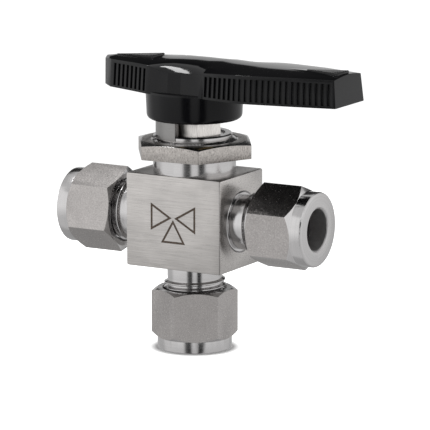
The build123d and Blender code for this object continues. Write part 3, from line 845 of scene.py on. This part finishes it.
# %% Packing bolt
BOLT_R = 7.1
BOLT_FLATS = 11.4
BOLT_CORNER = 5.6
BOLT_BORE = 3.3
BOLT_HEX = 3.4
BOLT_CHAMFER = 0.35
BOLT_RELIEF_R = 4.1  # wider bore at the bolt's foot
BOLT_RELIEF = 1.4
bolt_low, bolt_high = (c.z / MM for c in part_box("packing_bolt"))
shoulder = bolt_high - BOLT_HEX
corner_r = BOLT_FLATS / 2 / cos(pi / 6)
head = dressed(hex_bar("head", BOLT_FLATS, shoulder - 0.5, bolt_high, BOLT_CORNER), rough_milled)
cap = dressed(lathe("cap", [(2, shoulder - 1), (corner_r + 0.1, shoulder - 1),
                            (corner_r + 0.1, bolt_high - BOLT_CHAMFER),
                            (BOLT_FLATS / 2 - 0.1, bolt_high), (2, bolt_high)]), turned_up)
head = combine(head, cap, "INTERSECT")
plug = dressed(lathe("plug", [(2, bolt_low), (BOLT_R - 0.3, bolt_low), (BOLT_R, bolt_low + 0.3),
                              (BOLT_R, shoulder - 0.4), (BOLT_R - 0.4, shoulder),
                              (2, shoulder)]), turned_up)
bolt = combine(plug, head, "UNION")
relief_top = bolt_low + BOLT_RELIEF
bore = dressed(lathe("bore", [(0, bolt_low - 1), (BOLT_RELIEF_R, bolt_low - 1),
                              (BOLT_RELIEF_R, relief_top), (BOLT_BORE, relief_top),
                              (BOLT_BORE, bolt_high - 0.2),
                              (BOLT_BORE + 0.2, bolt_high), (BOLT_BORE + 0.2, bolt_high + 1),
                              (0, bolt_high + 1)]), turned_up)
bolt = named(combine(bolt, bore, "DIFFERENCE"), "packing_bolt_finished")
soften(bolt, 0.08)
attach(bolt, "valve")
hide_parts("packing_bolt")

# %% [markdown]
# The lever is one moulding, made here as a modeller would: a plain block is cut
# into stations along its length and into strips across it, every station is
# drawn in or out to its width, and the top is raised to its crown.

# %% Lever outline
ARM_UP = 29.65  # from the port axis to the arm's underside
arm_base = axis_z + ARM_UP
SIDE = 6.5
STRIPS = (0, 0.28, 0.52, 0.7, 0.82, 0.91, 0.97)  # across the half width
STATIONS = {  # along X: half width, side height, crown height
    -20.0: (4.6, 6.5, 7.15), -13.5: (7.0, 6.6, 7.3), -7.6: (9.35, 6.6, 7.45),
    -6.4: (9.42, 6.25, 7.5), -4.4: (9.2, 5.5, 7.55), -2.0: (9.1, 5.15, 7.6),
    1.5: (9.2, 5.1, 7.6), 4.5: (9.3, 5.2, 7.5), 7.3: (9.45, 5.4, 7.45),
    7.7: (9.75, 5.95, 7.4), 12.0: (10.65, 6.15, 7.35), 15.8: (11.3, 6.35, 7.25),
    17.8: (11.35, 6.4, 7.2), 21.0: (10.95, 6.45, 7.15), 30.0: (9.25, 6.5, 7.05),
    40.6: (6.9, 6.35, 6.95)}
DRAFT = tan(radians(4))
ARM_ARCH = 1.7  # how full the crown is on the arms
HUB_ARCH = 3.8  # and over the hub, where the shoulder rolls over


def bisected(piece, spot, across):
    """Cuts a piece right through at a plane, keeping both halves."""
    edit(piece)
    bpy.ops.mesh.select_all(action="SELECT")
    bpy.ops.mesh.bisect(plane_co=Vector(spot) * MM, plane_no=across)
    close()


def moved(piece, test, by):
    """Moves the corners that pass a test."""
    pick(piece, "VERT", test)
    bpy.ops.transform.translate(value=Vector(by) * MM)
    close()


START_Y = 10.0
END_LEAN = 0.6  # the flat end leans in towards its top
first, last = min(STATIONS), max(STATIONS)
lever = box("lever", (first, -START_Y, arm_base), (last, START_Y, arm_base + SIDE))
for x in sorted(STATIONS)[1:-1]:
    bisected(lever, (x, 0, 0), (1, 0, 0))
for share in STRIPS:
    for y in {share * START_Y, -share * START_Y}:
        bisected(lever, (0, y, 0), (0, 1, 0))

for x, (half, side_height, crown) in STATIONS.items():
    pick(lever, "VERT", lambda p: abs(p.x - x) < 0.01)
    bpy.ops.transform.resize(value=(1, half / START_Y, 1), center_override=(0, 0, 0))
    close()
    top_half = half - side_height * DRAFT
    pick(lever, "VERT", lambda p: abs(p.x - x) < 0.01 and p.z > arm_base + 1)
    bpy.ops.transform.resize(value=(1, top_half / half, 1), center_override=(0, 0, 0))
    bpy.ops.transform.translate(value=(0, 0, (side_height - SIDE) * MM))
    close()
    arch = HUB_ARCH if side_height < 6 else ARM_ARCH
    for share in STRIPS:
        rise = (crown - side_height) * (1 - share ** arch)
        moved(lever, lambda p: (abs(p.x - x) < 0.01 and p.z > arm_base + 1
                                and abs(abs(p.y) - share * top_half) < 0.02), (0, 0, rise))
moved(lever, lambda p: p.x > last - 0.01 and p.z > arm_base + 1, (-END_LEAN, 0, 0))
print("lever stations", len(STATIONS), "faces", len(lever.data.polygons))

# %% [markdown]
# The tail is the end face drawn out to a narrow tip. Then the long edges where
# the walls meet the top, and the edges of the flat end, are picked by their
# places and rounded together with one bevel.

# %% Tail and rounded edges
TAIL_TIP = -23.4
TAIL_HALF = 1.25
TAIL_DROP = 0.93  # height of the tip over that of the end face
EDGE_ROUND = 0.9
pick(lever, "FACE", lambda p: abs(p.x - first) < 0.01)
draw_out = {"value": ((TAIL_TIP - first) * MM, 0, 0)}
bpy.ops.mesh.extrude_region_move(TRANSFORM_OT_translate=draw_out)
narrow = TAIL_HALF / STATIONS[first][0]
bpy.ops.transform.resize(value=(1, narrow, TAIL_DROP),
                         center_override=(0, 0, (arm_base + 0.3) * MM))
close()
tidy(lever, 0.01)


def top_line(p):
    """The long edges where the side walls meet the top."""
    for a, b in zip(sorted(STATIONS), sorted(STATIONS)[1:]):
        if a < p.x < b:
            t = (p.x - a) / (b - a)
            half, side_height, crown = (u + (v - u) * t for u, v in zip(STATIONS[a], STATIONS[b]))
            return abs(abs(p.y) - half + side_height * DRAFT) < 0.12 and p.z > arm_base + 4
    return False


def end_line(p):
    """The top and upright edges of the flat end."""
    half = STATIONS[last][0]
    return p.x > last - END_LEAN - 0.01 and (p.z > arm_base + 5.8 or abs(p.y) > half - 0.6)


edit(lever, "EDGE")
close()
for edge in lever.data.edges:
    a, b = (lever.data.vertices[i].co / MM for i in edge.vertices)
    long_way = abs(a.x - b.x) > 0.2 and abs(a.y - b.y) < 4
    upright_or_top = (abs(a.y) > 6.1 and abs(b.y) > 6.1) or a.z > arm_base + 6
    flat_end = end_line(a) and end_line(b) and upright_or_top
    edge.select = (long_way and top_line((a + b) / 2)) or flat_end
bpy.ops.object.mode_set(mode="EDIT")
bpy.ops.mesh.bevel(offset=EDGE_ROUND * MM, segments=4, affect="EDGES", clamp_overlap=True)
close()
print("lever with its tail", len(lever.data.polygons), "faces")

# %% [markdown]
# The grips are rows of upright grooves. One groove is a small tapered box. It is
# copied along both walls, turned to follow each wall, and all the copies are cut
# out at once.

# %% Grip grooves
GROOVE_WIDE = 0.74
GROOVE_DEEP = 0.55
GROOVE_FOOT = 0.5  # from the arm's underside to the groove
GROOVE_HEAD = 0.85  # from the groove to the top of the wall
GRIPS = [(-18.4, -8.2, 7), (8.6, 39.0, 22)]  # from, to, number of ridges


def wall_at(x):
    """Half width of the lever's underside and the slope of its wall at x."""
    spots = sorted(STATIONS)
    for a, b in zip(spots, spots[1:]):
        if a <= x <= b:
            (ya, ha, _), (yb, hb, _) = STATIONS[a], STATIONS[b]
            t = (x - a) / (b - a)
            return ya + (yb - ya) * t, (yb - ya) / (b - a), ha + (hb - ha) * t
    return STATIONS[last][0], 0, SIDE


groove = box("groove", (-GROOVE_WIDE / 2, -2, 0), (GROOVE_WIDE / 2, 0, 1))
pick(groove, "FACE", lambda p: p.y < -1.9)
bpy.ops.transform.resize(value=(1.5, 1, 1))
close()
grooves = []
for low, high, ridges in GRIPS:
    for i in range(ridges + 1):
        x = low + (high - low) * i / ridges
        half, slope, tall = wall_at(x)
        for sign in (-1, 1):
            lean = Matrix.Rotation(sign * atan(DRAFT), 4, "X")
            yaw = Matrix.Rotation(sign * atan(slope), 4, "Z")
            size = Matrix.Diagonal((1, -sign, tall - GROOVE_HEAD - GROOVE_FOOT, 1))
            y = sign * (half - GROOVE_DEEP - GROOVE_FOOT * DRAFT)
            spot = Matrix.Translation(Vector((x, y, arm_base + GROOVE_FOOT)) * MM)
            grooves.append(copied(groove, "groove_cut", spot @ yaw @ lean @ size))
bpy.data.objects.remove(groove)
for cutter in grooves:
    tidy(cutter)
lever = combine(lever, joined(grooves), "DIFFERENCE")
print("grooves cut", len(grooves))

# %% [markdown]
# Round the stem is the hub, a round boss below the arm. It narrows downwards by
# the mould's draft and ends in a rounded rim, so it is turned like the metal
# pieces and joined to the arm.

# %% Hub
HUB_R = 11.35
HUB_EDGE = 1.2
HUB_UP = 23.3  # from the port axis to the hub's rim
HUB_DRAFT = radians(2)
hub_base = axis_z + HUB_UP
base_r = HUB_R - (arm_base - hub_base) * tan(HUB_DRAFT)
hub_curve = [(base_r - HUB_EDGE + HUB_EDGE * sin(t), hub_base + HUB_EDGE - HUB_EDGE * cos(t))
             for t in (0, pi / 8, pi / 4, 3 * pi / 8, pi / 2)]
hub = lathe("hub", [(0, hub_base), *hub_curve, (HUB_R, arm_base), (HUB_R, arm_base + 0.5),
                    (HUB_R - 2.2, arm_base + 0.52), (0, arm_base + 0.55)])
lever = combine(lever, hub, "UNION")
print("hub from", round(hub_base, 2), "to", round(arm_base, 2))

# %% [markdown]
# On top of the lever are two raised arrow marks that point along it. Each is a
# box with one end drawn in to a point, its top edges rounded and its tip dipped
# to follow the crown.

# %% Arrow marks
MARK_HALF = 2.7
MARKS = {  # tip and base along X, height of the top, dip of the tip
    "tail_mark": (-20.9, -9.6, 7.8, 0.65), "arm_mark": (29.6, 38.9, 7.45, 0.15)}
for name, (tip, base, top, dip) in MARKS.items():
    mark = box(name, (tip, -MARK_HALF, arm_base + 5.5), (base, MARK_HALF, arm_base + top))
    pick(mark, "FACE", lambda p: abs(p.x - tip) < 0.01)
    bpy.ops.transform.resize(value=(1, 0.03, 1))
    close()
    pick(mark, "FACE", lambda p: abs(p.z - arm_base - top) < 0.01)
    bpy.ops.mesh.bevel(offset=0.15 * MM, segments=2, affect="EDGES")
    close()
    moved(mark, lambda p: p.z > arm_base + top - 0.3 and p.x < tip + 1, (0, 0, -dip))
    lever = combine(lever, tidy(mark), "UNION")
    print(name, "raised to", arm_base + top)

# %% [markdown]
# Underneath, the lever is hollow. A recess clears the stop lug, a socket above it
# holds the brass insert, and cores along the arm keep the moulding's walls thin.
# A cross hole takes the set screw. In the recess stands the lever's own stop, a
# quarter of a ring that meets the lug at each end of the turn.

# %% Recess, cores and stop
RECESS_ROOM = 0.35  # round the lug and over it
SOCKET_R = 5.6  # for the brass insert
SOCKET_TALL = 7.2
WELL_R = 3.6  # over the end of the stem
WELL_UP = 34.3  # from the port axis
CORE_START = 13.6
CORE_ROWS = 3
CORE_WALL = 2.0
CORE_PITCH = 6.4
CORE_DEPTH = 4.6
SCREW_HOLE_R = 2.05
STOP_GAP = 0.16  # from the stop's ends to the middle planes
recess_r = LUG_R + RECESS_ROOM
recess_top = rim_z + LUG_HEIGHT + RECESS_ROOM
socket_top = recess_top + SOCKET_TALL
well_top = axis_z + WELL_UP
recess = lathe("recess", [(0, hub_base - 1), (recess_r, hub_base - 1), (recess_r, recess_top),
                          (SOCKET_R, recess_top), (SOCKET_R, socket_top), (WELL_R, socket_top),
                          (WELL_R, well_top), (0, well_top)])
lever = combine(lever, recess, "DIFFERENCE")
cores = []
for i in range(CORE_ROWS):
    x_low = CORE_START + i * CORE_PITCH
    x_high = x_low + CORE_PITCH - CORE_WALL
    reach = wall_at(x_high)[0] - CORE_WALL
    for sign in (-1, 1):
        y_low, y_high = sorted((sign * CORE_WALL / 2, sign * reach))
        low, high = (x_low, y_low, arm_base - 1), (x_high, y_high, arm_base + CORE_DEPTH)
        cores.append(box("core", low, high))
lever = combine(lever, joined(cores), "DIFFERENCE")
screw_low, screw_high = (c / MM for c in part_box("set_screw"))
bpy.ops.object.select_all(action="DESELECT")
bpy.ops.mesh.primitive_cylinder_add(vertices=48, radius=SCREW_HOLE_R * MM, depth=20 * MM,
                                    location=(0, 10 * MM, (screw_low.z + screw_high.z) / 2 * MM),
                                    rotation=(pi / 2, 0, 0))
lever = combine(lever, fixed(bpy.context.object), "DIFFERENCE")
stop = lathe("stop", [(LUG_R - LUG_WALL, hub_base + 0.4), (recess_r + 0.7, hub_base + 0.4),
                      (recess_r + 0.7, recess_top + 0.2), (LUG_R - LUG_WALL, recess_top + 0.2)])
corner_box = box("corner_box", (STOP_GAP, -12, hub_base - 1), (12, -STOP_GAP, recess_top + 1))
lever = combine(lever, combine(stop, corner_box, "INTERSECT"), "UNION")
lever = named(lever, "lever_finished")
print("cores", len(cores), "recess up to", round(recess_top, 2))

# %% [markdown]
# The faces are sorted into the three blacks by where they lie and which way they
# look: the top is the near mirror, the hub and what is below the arm take the
# finish between, and the walls, the grips and the tops of the marks are satin.

# %% Lever finishes
dressed(lever, satin_black, glossy_black, hub_black)
tops = 0
for face in lever.data.polygons:
    high = face.center.z / MM > arm_base + 4.9
    top_side = high and face.normal.z > 0.35
    for tip, base, top, dip in MARKS.values():
        on_mark = tip < face.center.x / MM < base and abs(face.center.y) / MM < MARK_HALF
        if on_mark and face.center.z / MM > arm_base + top - dip - 0.1:
            top_side = False
    low = face.center.z / MM < arm_base - 0.01 or face.center.xy.length / MM < recess_r + 0.1
    face.material_index = 1 if top_side else 2 if low else 0
    tops += top_side
soften(lever, 0.1, angle=35, smooth=32)
print("glossy faces", tops)
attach(lever, "handle")
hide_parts("handle")

# %% [markdown]
# The pieces inside the valve keep their exact shape from the frame. Each gets its
# own finish: polished for the ball and stem, turned steel for the rings, dark
# spring steel, waxy packing and brass.

# %% Finishes of the inner pieces
FINISHES = {
    "ball_stem": ball_steel, "lower_packing": packing_white, "upper_packing": packing_white,
    "gland": turned_up, "lower_spring_washer": dark_steel, "upper_spring_washer": dark_steel,
    "grounding_spring": dark_steel, "bottom_disc": turned_up, "left_side_disc": turned_along,
    "right_side_disc": turned_along, "handle_insert": brass, "set_screw": dark_steel}
for side, finish in {"left": turned_along, "right": turned_along, "bottom": turned_up}.items():
    FINISHES[side + "_front_ferrule"] = finish
    FINISHES[side + "_back_ferrule"] = finish
for name, finish in FINISHES.items():
    shown = frame["nodes"][name]
    shown.data.materials.clear()
    shown.data.materials.append(finish)
print(len(FINISHES), "inner pieces finished")

# %% [markdown]
# The floor is a wide white disc. To the lens it glows, so that it stays white out
# to its rim. The glow is masked out in a ring round the part, which darkens the
# floor there: a painted contact shadow, laid over the real shade of the lamps. It
# is kept out of mirror reflections, because the steel is lit by the studio drawn above.

# %% Floor
FLOOR_R = 200
PAINTED_SHADOW_R = (9.0, 11.0)  # no glow under the part, full glow further out: the ring between is a painted contact shadow
GLOW_SEEN = 1.0
GLOW_ROUND = 0.2


def white_card(name):
    made, tree, shader, place = fresh(name)
    dust = node(tree, "TexNoise", {"Vector": place, "Scale": 0.5, "Detail": 2.0})
    tint = ramp(tree, dust, [(0.3, 0.86), (0.7, 0.88)])
    tree.links.new(tint, shader.inputs["Base Color"])
    shader.inputs["Roughness"].default_value = 0.9
    shader.inputs["Specular IOR Level"].default_value = 0.1
    shader.inputs["Emission Color"].default_value = (1, 1, 1, 1)
    radius = node(tree, "VectorMath", {0: place}, out=1, operation="LENGTH")
    # the glow fades out near the part: this radius mask paints a contact shadow ring round it
    clear = node(tree, "MapRange", {0: radius, 1: PAINTED_SHADOW_R[0], 2: PAINTED_SHADOW_R[1]})
    for_lens = node(tree, "LightPath")
    glow = node(tree, "MapRange", {0: for_lens, 3: GLOW_ROUND, 4: GLOW_SEEN})
    tree.links.new(math(tree, "MULTIPLY", clear, glow), shader.inputs["Emission Strength"])
    return made


bpy.ops.object.select_all(action="DESELECT")
bpy.ops.mesh.primitive_circle_add(vertices=96, radius=FLOOR_R * MM, fill_type="NGON",
                                  location=(0, 0, cad_box[0][2] - 0.02 * MM))
floor = fixed(named(bpy.context.object, "floor"))
dressed(floor, white_card("white_card"))
floor.visible_glossy = False
print("floor radius", FLOOR_R)

# %% [markdown]
# The frame's box was measured, in metres, before the modelling. This last cell
# only loads the json module.

# %% Json module
import json
